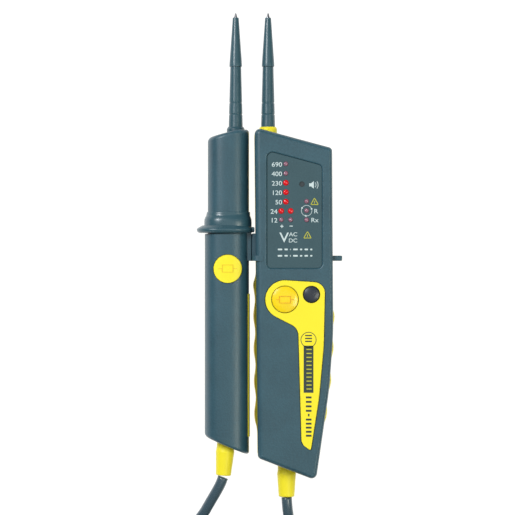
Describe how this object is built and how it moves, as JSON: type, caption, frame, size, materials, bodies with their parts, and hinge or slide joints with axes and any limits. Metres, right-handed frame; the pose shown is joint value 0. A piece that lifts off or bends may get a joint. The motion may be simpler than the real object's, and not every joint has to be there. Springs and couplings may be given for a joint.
{
  "type": "two-pole voltage tester",
  "caption": "Two-pole voltage tester: wide main unit with light-chain display, torch and load buttons, and a slim probe handle docked beside it, joined by a coiled lead.",
  "frame": {"origin": "under the middle of the tester's own box with its lead left out, at the height of its back face", "axes": "+Z out of the front face, +Y towards the probe tips, +X to the right as the front is read"},
  "size_m": [0.1049, 0.3894, 0.0364],
  "materials": {
    "slate": "fine-grained moulded slate plastic",
    "yellow": "satin moulded yellow plastic",
    "amber": "smooth glossy amber cap",
    "torch": "semi-gloss dark cap",
    "panel": "printed display panel, satin",
    "lit_lamp": "clear red lamp, lit",
    "clear_lamp": "clear lamp, unlit",
    "lens": "clear lens",
    "board": "laminate circuit board",
    "steel": "plated steel",
    "brass": "machined brass",
    "black": "black moulded plastic",
    "ceramic": "ceramic resistor body",
    "rubber": "black rubber strap",
    "cell": "plain wrapped dry cell",
    "lead": "smooth flexible lead sheath"
  },
  "bodies": {
    "main_unit": {"battery_1": "cell", "battery_2": "cell", "battery_bridge_contact": "steel", "battery_plate_contact": "steel", "battery_spring_contact": "steel", "buzzer": "black", "control_inlay": "yellow", "display_panel": "panel", "lead_coil": "lead", "lead_main_run": "lead", "lead_probe_run": "lead", "lead_tie": "rubber", "led_120": "lit_lamp", "led_12_minus": "clear_lamp", "led_12_plus": "clear_lamp", "led_230": "lit_lamp", "led_24_minus": "lit_lamp", "led_24_plus": "lit_lamp", "led_400": "clear_lamp", "led_50": "lit_lamp", "led_690": "clear_lamp", "led_continuity": "clear_lamp", "led_phase": "clear_lamp", "led_rotation": "clear_lamp", "load_resistor": "ceramic", "load_switch": "black", "main_back_shell": "yellow", "main_circuit_board": "board", "main_collar": "yellow", "main_front_shell": "slate", "main_rod": "steel", "main_sleeve": "slate", "main_strain_relief": "yellow", "shell_screw_1": "steel", "shell_screw_2": "steel", "shell_screw_3": "steel", "torch_lamp": "lens", "torch_switch": "black", "vibration_motor": "steel"},
    "probe_handle": {"probe_back_shell": "yellow", "probe_circuit_board": "board", "probe_collar": "slate", "probe_front_shell": "slate", "probe_guard": "slate", "probe_load_resistor": "ceramic", "probe_load_switch": "black", "probe_rod": "steel", "probe_screw_1": "steel", "probe_screw_2": "steel", "probe_sleeve": "slate", "probe_strain_relief": "yellow"},
    "main_load_button": {"main_load_button": "amber"},
    "torch_button": {"torch_button": "torch"},
    "eccentric_weight": {"eccentric_weight": "brass"},
    "battery_cover": {"battery_cover": "yellow"},
    "cover_lock": {"cover_lock": "black"},
    "main_tip_cap": {"main_tip_cap": "slate"},
    "probe_load_button": {"probe_load_button": "yellow"},
    "probe_tip_cap": {"probe_tip_cap": "slate"}
  },
  "joints": [
    {"name": "probe_undock", "type": "slide", "parent": "main_unit", "child": "probe_handle", "axis": [0, 1, 0], "range_m": [0, 0.018]},
    {"name": "main_load_press", "type": "slide", "parent": "main_unit", "child": "main_load_button", "axis": [0, 0, -1], "range_m": [0, 0.0012], "stiffness_N_per_m": 1500, "springref_m": -0.0004},
    {"name": "torch_press", "type": "slide", "parent": "main_unit", "child": "torch_button", "axis": [0, 0, -1], "range_m": [0, 0.0008], "stiffness_N_per_m": 1500, "springref_m": -0.0004},
    {"name": "probe_load_press", "type": "slide", "parent": "probe_handle", "child": "probe_load_button", "axis": [0, 0, -1], "range_m": [0, 0.0012], "stiffness_N_per_m": 1500, "springref_m": -0.0004},
    {"name": "main_cap_pull", "type": "slide", "parent": "main_unit", "child": "main_tip_cap", "axis": [0, 1, 0], "range_m": [0, 0.033]},
    {"name": "probe_cap_pull", "type": "slide", "parent": "probe_handle", "child": "probe_tip_cap", "axis": [0, 1, 0], "range_m": [0, 0.033]},
    {"name": "battery_cover_lift", "type": "slide", "parent": "main_unit", "child": "battery_cover", "axis": [0, 0, -1], "range_m": [0, 0.012]},
    {"name": "cover_lock_turn", "type": "hinge", "parent": "battery_cover", "child": "cover_lock", "pos_m": [0.01316, -0.10525, 0.001], "axis": [0, 0, -1], "range_deg": [0, 90]},
    {"name": "weight_spin", "type": "hinge", "parent": "main_unit", "child": "eccentric_weight", "pos_m": [0.02016, -0.074, 0.0216], "axis": [0, 1, 0], "continuous": true}
  ]
}
